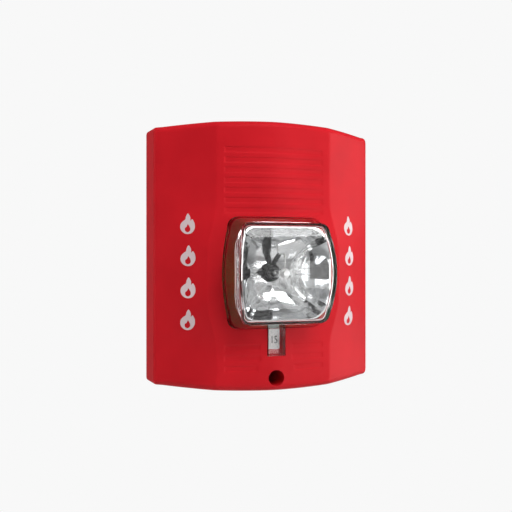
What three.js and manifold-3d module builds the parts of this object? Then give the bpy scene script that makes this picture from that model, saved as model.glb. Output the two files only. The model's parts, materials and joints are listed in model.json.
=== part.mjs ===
// Wall horn strobe: a moulded cover with a clear strobe lens, hung on a mounting plate.
// Millimetres. +Z up, the front faces -Y, the wall is the plane Y = 0 and the origin is the
// middle of the mounting plate's back face.
import * as THREE from 'three'
import { mergeVertices } from 'three/addons/utils/BufferGeometryUtils.js'
import Module from 'manifold-3d'

const wasm = await Module()
wasm.setup()

// Driving dimensions of the whole device.
const bodyWidth = 125
const bodyHeight = 142
const crownDepth = 46 // wall to the middle of the raised band
const lensDepth = 67 // wall to the front of the lens
const bandEdgeDepth = 41.6 // wall to the crease between band and wing
const sideDepth = 24 // wall to the front corner of a side
const bandMargin = 3.5 // band past each side of the lens
const coverWall = 2.5

// Form of the cover.
const wingBow = 0.5
const sideDraft = 1
const edgeDraft = 0.3
const edgeArch = 2.1
const cornerRadius = 2
const insideCornerRadius = 1
const cornerShare = 0.5 // how far a wall's inside corner steps back, as a share of the wall
const creaseShare = 0.3

// Clearances.
const gap = 0.3 // between pieces that rest on each other
const runningGap = 0.6 // between a piece and the hole that it moves in
const plateClearance = 0.9
const overrun = 2 // how far a cutting tool passes the face that it cuts

// Mounting plate and its hooks.
const plateThickness = 3
const plateRimHeight = 2
const plateRimWidth = 1.6
const wireOpening = { width: 48, height: 34, z: -20, radius: 5 }
const boxHole = { radius: 2.3, slot: 4, columnPitch: 23, rowHeight: 41.65 }
const screwLand = { width: 60, height: 8, radius: 2, proud: 0.6 } // raised round each row of box holes
const hook = { x: 30, width: 8, z: bodyHeight / 2 - 10, thickness: 2, reach: 7, lip: 1, lipDepth: 0.9 }
const screwZ = 7 - bodyHeight / 2
const hookSlot = { side: 1.5, below: 6 } // room round a hook in the rear cover
const plateBoss = { radius: 3.7, reach: 8 }

// Cover screw, its well and its retainer.
const well = { radius: 4.2, wall: 1.7, floor: 2, floorDepth: 20 }
const coverScrew = { headRadius: 3.6, head: 2.6, shankRadius: 1.9, tipDepth: 4, recess: 1.4 }
const retainer = { radius: 3.6, thickness: 0.9, seat: 0.5 }
const crossRecess = { arm: 0.62, half: 0.16 } // shares of a screw head's radius

// Lens, candela tab and reflector.
const lensZ = screwZ + 55.2
const lens = {
  rearWidth: 57, rearHeight: 58, frontWidth: 50, frontHeight: 50.5, wall: 1.9, radius: 7,
  sideBow: 2.6, flange: 1.6, flangeReach: 1.8, rearDepth: 36.6, neckDepth: 46.5,
}
const bandHalfWidth = lens.rearWidth / 2 + bandMargin
const tab = { width: 9.6, bottom: screwZ + 11.8, proud: 0.8, thickness: coverWall + 3.9 }
const reflector = {
  frontWidth: 45, frontHeight: 46, rearWidth: 25, rearHeight: 27,
  frontDepth: 61.5, rearDepth: 35, wall: 1, radius: 6, sideBow: 2,
}

// Flash tube and its leads, on the reflector's axis.
const tube = { radius: 2.3, rearDepth: 38.5, frontDepth: 58 }
const tubeCap = { radius: 2.6, length: 3, pinRadius: 1.56 }
const tubeHolder = { radius: 4.2, frontDepth: 41 }
const leadRadius = 0.45
const leadBend = 1
const leadTerminal = { depth: 50, z: lensZ + 9.8 } // where the return lead and trigger lead meet
const triggerRun = { startBack: 2, middleBack: 4, endBack: 5, rise: 1 }
const sleeve = { radius: 1.3, steps: 4 }

// Rear cover and circuit board.
const rearCover = { rearDepth: 6, thickness: 2, bottom: screwZ + 8.5, clearance: 0.8 }
const board = {
  rearDepth: 17, thickness: 1.6, halfWidth: 46, bottom: screwZ + 10, top: bodyHeight / 2 - 11,
}
const standoff = { radius: 2.5, x: 40, top: board.top - 6, bottom: board.bottom + 4 }
const rearScrew = {
  x: 51, top: bodyHeight / 2 - 24, bottom: 24 - bodyHeight / 2, headRadius: 2.75, head: 1.7, shankRadius: 1.2,
  length: 11,
}
const postRadius = 3.6

// Terminal block with its four terminals.
const block = { halfWidth: 24, bottom: 20, top: 36, frontDepth: 11.3 }
const terminalCount = 4
const terminalPitch = 11
const pocket = { halfWidth: 4, top: 29.4, floorDepth: 6.5 }
const clamp = { half: 3.4, z: 24.9, rearDepth: 7.4, thickness: 0.8 }
const terminalScrew = { headRadius: 2.9, head: 1.9, shankRadius: 1.5, tipDepth: 4.2, recess: 1 }
const blockWindow = { side: 3, below: 4, above: 5 } // room round the block in the rear cover
const blade = { halfWidth: 1.6, z: 32.2, thickness: 0.8, tipDepth: 8.2 }
const bladeSlot = { below: 0.9, above: 2.3, side: 0.7, floorDepth: 6 }
const shortingSpring = {
  halfWidth: 7, thickness: 0.4, rearDepth: 5, frontDepth: 9, footWidth: 0.8, footHeight: 1.2,
}

// Selectors that are set from the back.
const candela = {
  pitch: 7.8, steps: 3, z: screwZ + 18.3, halfHeight: 7.2, thickness: 0.8, margin: 4.6,
}
const candelaArm = {
  x: 22.5, z: screwZ + 14.6, halfWidth: 1.5, tipDepth: 4.2, thumb: 2.5, thumbThickness: 1.5,
}
const toneSwitch = {
  x: -30, z: -30, half: 5, behind: 2, rotorRadius: 3, rotorDepth: 6.4, rotorLength: 5,
}
const arrow = { halfWidth: 0.6, tail: 1.5, tip: 2.4, depth: 1.25 }

// Sounder and electronics.
const sounder = {
  z: bodyHeight / 2 - 29, radius: 22, wall: 2.5, frontDepth: 33, ledge: 5, discRadius: 18, disc: 0.8,
}
const soundSlot = { count: 7, pitch: 6.5, halfWidth: 1.2, rearDepth: 14, frontDepth: 30 }
const capacitor = { radius: 6.25, x: 40, bottom: -36, length: 30 }
const transformer = {
  x: -38, z: -8, half: 6.5, height: 11, coreHalf: 3.25, windingHalf: 4.5, windingInset: 1,
}
const inductor = { x: -38, z: 14, radius: 6.5, core: 3.5, height: 10, flange: 1.5 }

const cornerSteps = 6
const curveSteps = 8
const roundSteps = 24
const smallSteps = 16
const mergeTolerance = 1e-4

function paint(color, roughness, metalness = 0, opacity = 1) {
  const transparent = opacity < 1
  return new THREE.MeshStandardMaterial({ color, roughness, metalness, opacity, transparent })
}
const redPlastic = paint(0xd0202c, 0.42)
const clearPlastic = paint(0xe6ecee, 0.08, 0, 0.35)
const metallised = paint(0xd8dadd, 0.12, 1)
const blackRubber = paint(0x161616, 0.7)
const blackPlastic = paint(0x202124, 0.55)
const whitePlastic = paint(0xeeeeea, 0.5)
const greyPlastic = paint(0x9a9c9e, 0.55)
const quartz = paint(0xf2f4f6, 0.04, 0, 0.4)
const steel = paint(0xb4b6b8, 0.32, 1)
const brass = paint(0xc9a35a, 0.35, 1)
const laminate = paint(0x1f6b3a, 0.5)
const copper = paint(0xb87a45, 0.4, 0.8)

// Solids and their joins.
function solidOf(geometry) {
  const plain = geometry.clone()
  plain.deleteAttribute('normal')
  plain.deleteAttribute('uv')
  const merged = mergeVertices(plain, mergeTolerance)
  const vertProperties = Float32Array.from(merged.attributes.position.array)
  const triVerts = Uint32Array.from(merged.index.array)
  return new wasm.Manifold(new wasm.Mesh({ numProp: 3, vertProperties, triVerts }))
}

function geometryOf(solid) {
  const mesh = solid.getMesh()
  const geometry = new THREE.BufferGeometry()
  geometry.setAttribute('position', new THREE.BufferAttribute(mesh.vertProperties, 3))
  geometry.setIndex(new THREE.BufferAttribute(mesh.triVerts, 1))
  geometry.computeVertexNormals()
  return geometry
}

function join(...pieces) {
  return geometryOf(pieces.map(solidOf).reduce((whole, piece) => whole.add(piece)))
}

function cut(body, ...tools) {
  return geometryOf(tools.map(solidOf).reduce((rest, tool) => rest.subtract(tool), solidOf(body)))
}

function common(...pieces) {
  return geometryOf(pieces.map(solidOf).reduce((whole, piece) => whole.intersect(piece)))
}

// Prisms and rods. Depths are positive distances from the wall towards the front.
function alongZ(shape, low, high) {
  const settings = { depth: high - low, bevelEnabled: false, curveSegments: curveSteps }
  return new THREE.ExtrudeGeometry(shape, settings).translate(0, 0, low)
}

function alongY(shape, rearDepth, frontDepth, curveSegments = cornerSteps) {
  const settings = { depth: frontDepth - rearDepth, bevelEnabled: false, curveSegments }
  return new THREE.ExtrudeGeometry(shape, settings).rotateX(Math.PI / 2).translate(0, -rearDepth, 0)
}

function alongX(shape, halfLength) {
  const settings = { depth: 2 * halfLength, bevelEnabled: false }
  const turn = new THREE.Matrix4().set(0, 0, 1, 0, 1, 0, 0, 0, 0, 1, 0, 0, 0, 0, 0, 1)
  return new THREE.ExtrudeGeometry(shape, settings).applyMatrix4(turn).translate(-halfLength, 0, 0)
}

function slab(left, right, rearDepth, frontDepth, bottom, top) {
  const middle = [(left + right) / 2, -(rearDepth + frontDepth) / 2, (bottom + top) / 2]
  return new THREE.BoxGeometry(right - left, frontDepth - rearDepth, top - bottom).translate(...middle)
}

function rod(radius, rearDepth, frontDepth, x = 0, z = 0, steps = roundSteps) {
  const length = frontDepth - rearDepth
  const rodGeometry = new THREE.CylinderGeometry(radius, radius, length, steps)
  return rodGeometry.translate(x, -(rearDepth + frontDepth) / 2, z)
}

// A closed outline bent outwards between two points.
function bowTo(shape, from, to, bow) {
  const chord = new THREE.Vector2().subVectors(to, from)
  const middle = new THREE.Vector2().addVectors(from, to).multiplyScalar(0.5)
  const outward = new THREE.Vector2(chord.y, -chord.x).normalize()
  if (outward.dot(middle) < 0) outward.negate()
  const control = middle.addScaledVector(outward, 2 * bow)
  shape.quadraticCurveTo(control.x, control.y, to.x, to.y)
}

// Wall to the band's inner face, at a distance from its middle.
function innerBandDepthAt(x) {
  const share = x / (bandHalfWidth - coverWall * creaseShare)
  return crownDepth - coverWall - (crownDepth - bandEdgeDepth) * share ** 2
}

// Cover seen from above: sides, bowed wings and the crowned band.
function planShape(inset) {
  const rear = bodyWidth / 2 - inset
  const side = [-1, 1].map((sign) => ({
    rear: new THREE.Vector2(sign * (rear + sideDraft * overrun / sideDepth), overrun),
    corner: new THREE.Vector2(sign * (rear - sideDraft), -(sideDepth - inset * cornerShare)),
    crease: new THREE.Vector2(sign * (bandHalfWidth - inset * creaseShare), -(bandEdgeDepth - inset)),
  }))
  const [left, right] = side
  const shape = new THREE.Shape()
  shape.moveTo(left.rear.x, left.rear.y)
  shape.lineTo(left.corner.x, left.corner.y)
  bowTo(shape, left.corner, left.crease, wingBow)
  bowTo(shape, left.crease, right.crease, crownDepth - bandEdgeDepth)
  bowTo(shape, right.crease, right.corner, wingBow)
  shape.lineTo(right.rear.x, right.rear.y)
  shape.closePath()
  return shape
}

// Cover seen from the front: straight sides, arched top and bottom, rounded corners.
function frontShape(inset) {
  const x = bodyWidth / 2 - inset
  const z = bodyHeight / 2 - inset - edgeArch
  const radius = Math.max(cornerRadius - inset, insideCornerRadius)
  const shape = new THREE.Shape()
  shape.moveTo(-x, -z + radius)
  shape.quadraticCurveTo(-x, -z, -x + radius, -z)
  shape.quadraticCurveTo(0, -z - 2 * edgeArch, x - radius, -z)
  shape.quadraticCurveTo(x, -z, x, -z + radius)
  shape.lineTo(x, z - radius)
  shape.quadraticCurveTo(x, z, x - radius, z)
  shape.quadraticCurveTo(0, z + 2 * edgeArch, -x + radius, z)
  shape.quadraticCurveTo(-x, z, -x, z - radius)
  shape.closePath()
  return shape
}

// Cover seen from the side: top and bottom lean in towards the front.
function sideShape(inset) {
  const rear = bodyHeight / 2 - inset
  const front = rear - edgeDraft
  const shape = new THREE.Shape()
  shape.moveTo(0, -rear)
  shape.lineTo(0, rear)
  shape.lineTo(-crownDepth, front)
  shape.lineTo(-crownDepth, -front)
  shape.closePath()
  return shape
}

function coverBlock(inset, rearDepth) {
  const body = alongZ(planShape(inset), -bodyHeight, bodyHeight)
  const outline = alongY(frontShape(inset), rearDepth, crownDepth + overrun)
  return common(body, outline, alongX(sideShape(inset), bodyWidth))
}

// Barrel outline of lens and reflector: sides bow out, corners are round.
function barrelShape(width, height, radius, sideBow) {
  const x = width / 2 - sideBow
  const z = height / 2
  const shape = new THREE.Shape()
  shape.moveTo(-x + radius, -z)
  shape.lineTo(x - radius, -z)
  shape.quadraticCurveTo(x, -z, x, -z + radius)
  shape.quadraticCurveTo(x + 2 * sideBow, 0, x, z - radius)
  shape.quadraticCurveTo(x, z, x - radius, z)
  shape.lineTo(-x + radius, z)
  shape.quadraticCurveTo(-x, z, -x, z - radius)
  shape.quadraticCurveTo(-x - 2 * sideBow, 0, -x, -z + radius)
  shape.quadraticCurveTo(-x, -z, -x + radius, -z)
  return shape
}

// A barrel that narrows from its rear size to its front size.
function taperedBarrel(rear, front, rearDepth, frontDepth, radius, sideBow) {
  const outline = barrelShape(rear.width, rear.height, radius, sideBow)
  const geometry = alongY(outline, rearDepth, frontDepth)
  const points = geometry.attributes.position
  for (let i = 0; i < points.count; i += 1) {
    const share = (-points.getY(i) - rearDepth) / (frontDepth - rearDepth)
    points.setX(i, points.getX(i) * THREE.MathUtils.lerp(1, front.width / rear.width, share))
    points.setZ(i, points.getZ(i) * THREE.MathUtils.lerp(1, front.height / rear.height, share))
  }
  return geometry.translate(0, 0, lensZ)
}

// Round bar bent along points, as a wire or a sleeve.
function bentBar(radius, points, steps) {
  const path = new THREE.CatmullRomCurve3(points.map((point) => new THREE.Vector3(...point)))
  const section = new THREE.Shape().absarc(0, 0, radius, 0, 2 * Math.PI)
  const settings = { steps, bevelEnabled: false, extrudePath: path, curveSegments: smallSteps / 2 }
  return new THREE.ExtrudeGeometry(section, settings)
}

// Pan-head screw along Y with a crossed recess; its head faces the front.
function crossScrew(headRadius, head, shankRadius, length, recess) {
  const arm = headRadius * crossRecess.arm
  const armHalf = headRadius * crossRecess.half
  const top = length + head
  return cut(
    join(rod(shankRadius, 0, length + gap, 0, 0, smallSteps), rod(headRadius, length, top)),
    slab(-arm, arm, top - recess, top + overrun, -armHalf, armHalf),
    slab(-armHalf, armHalf, top - recess, top + overrun, -arm, arm),
  )
}

function node(name, geometry, material, x = 0, y = 0, z = 0) {
  const mesh = new THREE.Mesh(geometry, material)
  mesh.name = name
  mesh.position.set(x, y, z)
  return mesh
}

// ---- Pieces fixed to the wall ----

function mountingPlate() {
  const inset = coverWall + plateClearance
  const sheet = alongY(frontShape(inset), 0, plateThickness)
  const rimDepth = plateThickness + plateRimHeight
  const rim = cut(
    alongY(frontShape(inset), plateThickness - gap, rimDepth),
    alongY(frontShape(inset + plateRimWidth), 0, rimDepth + overrun),
  )
  const boss = rod(plateBoss.radius, plateThickness - gap, plateThickness + plateBoss.reach, 0, screwZ)
  const hooks = [-1, 1].map((sign) => {
    const left = sign * hook.x - hook.width / 2
    const right = sign * hook.x + hook.width / 2
    const tip = plateThickness + hook.reach
    const top = hook.z + hook.thickness
    const arm = slab(left, right, plateThickness - gap, tip, hook.z, top)
    return join(arm, slab(left, right, tip - hook.lipDepth, tip, hook.z, top + hook.lip))
  })
  const landShape = barrelShape(screwLand.width, screwLand.height, screwLand.radius, 0)
  const lands = [-1, 1].map((row) => (
    alongY(landShape, plateThickness - gap, plateThickness + screwLand.proud)
      .translate(0, 0, row * boxHole.rowHeight)
  ))
  const holes = [-1, 0, 1].flatMap((column) => [-1, 1].map((row) => {
    const x = column * boxHole.columnPitch
    const z = row * boxHole.rowHeight
    const half = boxHole.slot / 2
    return join(
      rod(boxHole.radius, -overrun, plateThickness + overrun, x - half, z, smallSteps),
      rod(boxHole.radius, -overrun, plateThickness + overrun, x + half, z, smallSteps),
      slab(x - half, x + half, -overrun, plateThickness + overrun, z - boxHole.radius, z + boxHole.radius),
    )
  }))
  const wires = alongY(barrelShape(wireOpening.width, wireOpening.height, wireOpening.radius, 0),
    -overrun, plateThickness + overrun).translate(0, 0, wireOpening.z)
  const bore = rod(coverScrew.shankRadius + runningGap, -overrun, crownDepth, 0, screwZ, smallSteps)
  return cut(join(sheet, rim, boss, ...hooks, ...lands), wires, bore, ...holes)
}

function terminalX(index) {
  return (index - (terminalCount - 1) / 2) * terminalPitch
}

function terminalBlock() {
  const rear = plateThickness + gap
  const body = slab(-block.halfWidth, block.halfWidth, rear, block.frontDepth, block.bottom, block.top)
  const tools = Array.from({ length: terminalCount }, (_, index) => {
    const x = terminalX(index)
    const slot = blade.halfWidth + bladeSlot.side
    return [
      slab(x - pocket.halfWidth, x + pocket.halfWidth, pocket.floorDepth, block.frontDepth + overrun,
        block.bottom - overrun, pocket.top),
      rod(terminalScrew.shankRadius + runningGap, rear - overrun, pocket.floorDepth + overrun,
        x, clamp.z, smallSteps),
      slab(x - slot, x + slot, bladeSlot.floorDepth, block.frontDepth + overrun,
        blade.z - bladeSlot.below, blade.z + bladeSlot.above),
    ]
  })
  return cut(body, ...tools.flat())
}

function clampPlate() {
  const plate = slab(-clamp.half, clamp.half, 0, clamp.thickness, -clamp.half, clamp.half)
  const radius = terminalScrew.shankRadius + gap
  return cut(plate, rod(radius, -overrun, clamp.thickness + overrun, 0, 0, smallSteps))
}

function terminalScrewBody() {
  const seat = clamp.rearDepth + clamp.thickness + gap
  const { headRadius, head, shankRadius, tipDepth, recess } = terminalScrew
  return crossScrew(headRadius, head, shankRadius, seat - tipDepth, recess)
}

function shortingStrip() {
  const { halfWidth, thickness, rearDepth, frontDepth, footWidth, footHeight } = shortingSpring
  const bottom = block.top + gap
  const leaf = slab(-halfWidth, halfWidth, rearDepth, frontDepth, bottom, bottom + thickness)
  const left = slab(-halfWidth, footWidth - halfWidth, rearDepth, frontDepth, bottom, bottom + footHeight)
  const right = left.clone().translate(2 * halfWidth - footWidth, 0, 0)
  return join(leaf, left, right)
}

// ---- Pieces of the housing ----

// The lens opening with the notch for the candela tab below it.
function lensOpening() {
  const width = lens.rearWidth + 2 * gap
  const height = lens.rearHeight + 2 * gap
  const barrel = alongY(barrelShape(width, height, lens.radius, lens.sideBow), 0, lensDepth)
  const notch = slab(-tab.width / 2 - gap, tab.width / 2 + gap, 0, lensDepth, tab.bottom - gap, lensZ)
  return join(barrel.translate(0, 0, lensZ), notch)
}

function frontCover() {
  const shell = cut(coverBlock(0, 0), coverBlock(coverWall, -overrun))
  const wellTube = rod(well.radius + well.wall, well.floorDepth, crownDepth, 0, screwZ)
  const posts = rearScrewPlaces().map(({ x, z }) => (
    rod(postRadius, rearCover.rearDepth + rearCover.thickness + gap, crownDepth, x, z, smallSteps)
  ))
  const bores = rearScrewPlaces().map(({ x, z }) => (
    rod(rearScrew.shankRadius + gap, 0, rearCover.rearDepth + rearScrew.length + gap, x, z, smallSteps)
  ))
  const slots = Array.from({ length: soundSlot.count }, (_, index) => {
    const x = (index - (soundSlot.count - 1) / 2) * soundSlot.pitch
    const bottom = bodyHeight / 2 - coverWall - edgeDraft - overrun
    return slab(x - soundSlot.halfWidth, x + soundSlot.halfWidth, soundSlot.rearDepth,
      soundSlot.frontDepth, bottom, bodyHeight / 2 + overrun)
  })
  const wellBore = rod(well.radius, well.floorDepth + well.floor, lensDepth, 0, screwZ)
  const screwBore = rod(coverScrew.shankRadius + runningGap, 0, lensDepth, 0, screwZ, smallSteps)
  const body = join(shell, common(join(wellTube, ...posts), coverBlock(coverWall / 2, 0)))
  return cut(body, lensOpening(), wellBore, screwBore, ...bores, ...slots)
}

function strobeLens() {
  const rear = { width: lens.rearWidth, height: lens.rearHeight }
  const front = { width: lens.frontWidth, height: lens.frontHeight }
  const grown = (size, by) => ({ width: size.width + 2 * by, height: size.height + 2 * by })
  const straight = (size, radius, rearDepth, frontDepth) => (
    alongY(barrelShape(size.width, size.height, radius, lens.sideBow), rearDepth, frontDepth)
      .translate(0, 0, lensZ)
  )
  const rearInside = grown(rear, -lens.wall)
  const innerRadius = lens.radius - lens.wall
  const neck = straight(rear, lens.radius, lens.rearDepth, lens.neckDepth)
  const dome = taperedBarrel(rear, front, lens.neckDepth, lensDepth, lens.radius, lens.sideBow)
  const neckBore = straight(rearInside, innerRadius, lens.rearDepth - overrun, lens.neckDepth)
  const domeHollow = taperedBarrel(rearInside, grown(front, -lens.wall), lens.neckDepth,
    lensDepth - lens.wall, innerRadius, lens.sideBow)
  const flange = straight(grown(rear, lens.flangeReach), lens.radius + lens.flangeReach,
    lens.rearDepth, lens.rearDepth + lens.flange)
  const tabFront = crownDepth + tab.proud
  const window = slab(-tab.width / 2, tab.width / 2, tabFront - tab.thickness, tabFront,
    tab.bottom, lensZ - lens.rearHeight / 2 + 2 * lens.wall)
  return cut(join(neck, dome, flange, window), neckBore, domeHollow)
}

function reflectorBowl() {
  const { wall, radius, sideBow, rearDepth, frontDepth } = reflector
  const rear = { width: reflector.rearWidth, height: reflector.rearHeight }
  const front = { width: reflector.frontWidth, height: reflector.frontHeight }
  const inside = (size) => ({ width: size.width - 2 * wall, height: size.height - 2 * wall })
  const bowl = taperedBarrel(rear, front, rearDepth, frontDepth, radius, sideBow)
  const hollow = taperedBarrel(inside(rear), inside(front), rearDepth + wall, frontDepth + wall / 2,
    radius - wall, sideBow)
  return cut(bowl, hollow, rod(tubeHolder.radius + gap, 0, lensDepth, 0, lensZ))
}

function tubeHolderBody() {
  const rear = board.rearDepth + board.thickness + gap
  return cut(
    rod(tubeHolder.radius, rear, tubeHolder.frontDepth, 0, lensZ),
    rod(tube.radius + gap, tube.rearDepth - gap, lensDepth, 0, lensZ),
  )
}

function tubeEndCap() {
  const bottom = tube.frontDepth + gap
  return join(
    rod(tubeCap.radius, bottom, bottom + tubeCap.length / 2, 0, lensZ),
    rod(tubeCap.pinRadius, bottom, bottom + tubeCap.length, 0, lensZ, smallSteps),
  )
}

// Return lead: from the sleeve's terminal forwards, then down to just above the tube's end.
function returnLead() {
  const end = tube.frontDepth + gap + tubeCap.length / 4
  return bentBar(leadRadius, [
    [0, -leadTerminal.depth, leadTerminal.z],
    [0, leadBend - end, leadTerminal.z],
    [0, -end, leadTerminal.z - leadBend],
    [0, -end, lensZ + tubeCap.radius + gap],
  ], roundSteps)
}

function leadSleeve() {
  const foot = tubeHolder.frontDepth - tubeHolder.radius
  return cut(
    bentBar(sleeve.radius, [
      [0, -foot, lensZ + tubeHolder.radius / 2],
      [0, leadBend - leadTerminal.depth, leadTerminal.z - sleeve.radius],
    ], sleeve.steps),
    rod(tubeHolder.radius + gap, 0, tubeHolder.frontDepth + gap, 0, lensZ),
  )
}

function triggerLead() {
  const { depth, z } = leadTerminal
  const top = lensZ + reflector.rearHeight / 2 + triggerRun.rise
  return bentBar(leadRadius, [
    [0, triggerRun.startBack - depth, z + leadRadius],
    [0, triggerRun.middleBack - depth, (z + top) / 2],
    [0, triggerRun.endBack - depth, top],
  ], smallSteps)
}

function rearScrewPlaces() {
  const heights = [rearScrew.bottom, rearScrew.top]
  return [-1, 1].flatMap((sign) => heights.map((z) => ({ x: sign * rearScrew.x, z })))
}

function candelaSlot() {
  const travel = candela.pitch * candela.steps
  const side = candelaArm.halfWidth + runningGap
  return {
    left: candelaArm.x - travel - side,
    right: candelaArm.x + side,
    bottom: candelaArm.z - side,
    top: candelaArm.z + side,
  }
}

function rearCoverBody() {
  const front = rearCover.rearDepth + rearCover.thickness
  const sheet = common(
    alongY(frontShape(coverWall + rearCover.clearance), rearCover.rearDepth, front),
    slab(-bodyWidth, bodyWidth, 0, crownDepth, rearCover.bottom, bodyHeight),
  )
  const standoffs = [-1, 1].flatMap((sign) => [standoff.bottom, standoff.top].map((z) => (
    rod(standoff.radius, front - gap, board.rearDepth - gap, sign * standoff.x, z, smallSteps)
  )))
  const windowHalf = block.halfWidth + blockWindow.side
  const window = slab(-windowHalf, windowHalf, 0, front + overrun,
    block.bottom - blockWindow.below, block.top + blockWindow.above)
  const hookSlots = [-1, 1].map((sign) => {
    const x = sign * hook.x
    const half = hook.width / 2 + hookSlot.side
    return slab(x - half, x + half, 0, front + overrun,
      hook.z - hookSlot.below, hook.z + hook.thickness + gap)
  })
  const screwHoles = rearScrewPlaces().map(({ x, z }) => (
    rod(rearScrew.shankRadius + gap, 0, front + overrun, x, z, smallSteps)
  ))
  const slot = candelaSlot()
  const armSlot = slab(slot.left, slot.right, 0, front + overrun, slot.bottom, slot.top)
  const rotorHole = rod(toneSwitch.rotorRadius + runningGap, 0, front + overrun, toneSwitch.x, toneSwitch.z)
  return cut(join(sheet, ...standoffs), window, armSlot, rotorHole, ...hookSlots, ...screwHoles)
}

function circuitBoard() {
  const { rearDepth, thickness, halfWidth, bottom, top } = board
  const slot = candelaSlot()
  return cut(
    slab(-halfWidth, halfWidth, rearDepth, rearDepth + thickness, bottom, top),
    slab(slot.left, slot.right, 0, crownDepth, slot.bottom, slot.top),
  )
}

function candelaSelector() {
  const travel = candela.pitch * candela.steps
  const behindTab = crownDepth + tab.proud - tab.thickness - runningGap
  const behindBand = innerBandDepthAt(travel + candela.margin) - gap
  const front = Math.min(behindTab, behindBand)
  const rear = front - candela.thickness
  const { x, z, halfWidth, tipDepth, thumb, thumbThickness } = candelaArm
  const strip = slab(-candela.margin, travel + candela.margin, rear, front,
    candela.z - candela.halfHeight, candela.z + candela.halfHeight)
  const arm = slab(x - halfWidth, x + halfWidth, tipDepth, rear + gap, z - halfWidth, z + halfWidth)
  const thumbPad = slab(x - thumb, x + thumb, tipDepth, tipDepth + thumbThickness, z - thumb, z + thumb)
  return join(strip, arm, thumbPad)
}

function toneSwitchBody() {
  const { x, z, half, behind, rotorRadius, rotorDepth, rotorLength } = toneSwitch
  const bottom = rotorDepth + rotorLength + gap
  const rear = rearCover.rearDepth + rearCover.thickness + behind
  return cut(
    slab(x - half, x + half, rear, board.rearDepth - gap, z - half, z + half),
    rod(rotorRadius + gap, 0, bottom, x, z),
  )
}

function toneSwitchRotor() {
  const { rotorRadius, rotorLength } = toneSwitch
  return cut(
    rod(rotorRadius, 0, rotorLength),
    slab(-arrow.halfWidth, arrow.halfWidth, -overrun, arrow.depth, -arrow.tail, arrow.tip),
  )
}

function sounderCup() {
  const { radius, wall, ledge } = sounder
  const rear = board.rearDepth + board.thickness + gap
  const height = sounder.frontDepth - rear
  const seat = sounder.discRadius - wall
  const profile = [
    [0, 0], [radius, 0], [radius, height], [radius - wall, height],
    [radius - wall, ledge], [seat, ledge], [seat, ledge / 2], [0, ledge / 2],
  ].map(([x, y]) => new THREE.Vector2(x, y))
  return new THREE.LatheGeometry(profile, roundSteps * 2).rotateX(Math.PI).translate(0, -rear, sounder.z)
}

function sounderDisc() {
  const rear = board.rearDepth + board.thickness + gap + sounder.ledge + gap
  return rod(sounder.discRadius, rear, rear + sounder.disc, 0, sounder.z, roundSteps * 2)
}

function flashCapacitor() {
  const y = board.rearDepth + board.thickness + gap + capacitor.radius
  const can = new THREE.CylinderGeometry(capacitor.radius, capacitor.radius, capacitor.length, roundSteps)
  return can.rotateX(Math.PI / 2).translate(capacitor.x, -y, capacitor.bottom + capacitor.length / 2)
}

function triggerTransformer() {
  const rear = board.rearDepth + board.thickness + gap
  const { x, z, half, height, coreHalf, windingHalf, windingInset } = transformer
  const core = slab(x - half, x + half, rear, rear + height, z - coreHalf, z + coreHalf)
  const winding = slab(x - windingHalf, x + windingHalf, rear + windingInset,
    rear + height - windingInset, z - half, z + half)
  return join(core, winding)
}

function inductorDrum() {
  const { x, z, radius, core, height, flange } = inductor
  const rear = board.rearDepth + board.thickness + gap
  const profile = [
    [0, 0], [radius, 0], [radius, flange], [core, flange], [core, height - flange],
    [radius, height - flange], [radius, height], [0, height],
  ].map(([r, y]) => new THREE.Vector2(r, y))
  return new THREE.LatheGeometry(profile, roundSteps).rotateX(Math.PI).translate(x, -rear, z)
}

function contactBlade() {
  return slab(-blade.halfWidth, blade.halfWidth, blade.tipDepth, board.rearDepth - gap,
    blade.z - blade.thickness / 2, blade.z + blade.thickness / 2)
}

function coverScrewBody() {
  const { headRadius, head, shankRadius, tipDepth, recess } = coverScrew
  const seat = well.floorDepth + well.floor + gap
  return crossScrew(headRadius, head, shankRadius, seat - tipDepth, recess)
}

function screwRetainer() {
  const rear = plateThickness + plateBoss.reach + retainer.seat
  const front = rear + retainer.thickness
  return cut(
    rod(retainer.radius, rear, front, 0, screwZ),
    rod(coverScrew.shankRadius + gap, 0, crownDepth, 0, screwZ, smallSteps),
  )
}

// ---- Assembly ----

const wallAssembly = new THREE.Group()
wallAssembly.add(
  node('mounting_plate', mountingPlate(), whitePlastic),
  node('terminal_block', terminalBlock(), blackPlastic),
  node('shorting_spring', shortingStrip(), brass),
)
const housing = new THREE.Group()
for (let index = 0; index < terminalCount; index += 1) {
  const number = index + 1
  const x = terminalX(index)
  wallAssembly.add(
    node(`clamp_plate_${number}`, clampPlate(), steel, x, -clamp.rearDepth, clamp.z),
    node(`terminal_screw_${number}`, terminalScrewBody(), steel, x, -terminalScrew.tipDepth, clamp.z),
  )
  housing.add(node(`contact_blade_${number}`, contactBlade(), brass, x))
}

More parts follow.
